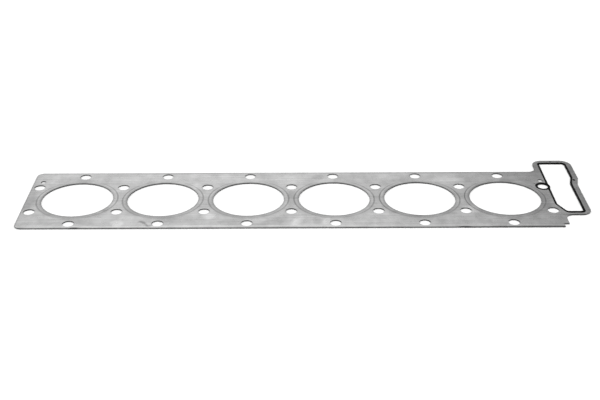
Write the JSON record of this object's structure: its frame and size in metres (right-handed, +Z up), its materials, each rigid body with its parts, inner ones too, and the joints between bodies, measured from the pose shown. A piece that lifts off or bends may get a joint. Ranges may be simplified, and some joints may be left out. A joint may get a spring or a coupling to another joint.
{
  "type": "cylinder head gasket",
  "caption": "Flat steel cylinder head gasket for an in-line engine, with pressed beads round the cylinder openings and a rubber-lined cut-out in its end tab.",
  "frame": {"origin": "midway between the end bolt columns, on the crankshaft line and on the underside of the steel sheet, where it lies on the block", "axes": "+X along the crankshaft towards the end with the tab, +Y across the engine towards the side that the tab stands out on, +Z up from the block towards the head"},
  "size_m": [1.0176, 0.2635, 0.0026],
  "materials": {
    "spring_steel": "cold rolled spring steel with a thin clear anti-friction coating, dull, with cloudy stains and faint rolling streaks",
    "seal_rubber": "moulded black fluorocarbon rubber, smooth and satin"
  },
  "bodies": {
    "root": {"gasket_sheet": "spring_steel", "window_seal": "seal_rubber"}
  },
  "joints": []
}
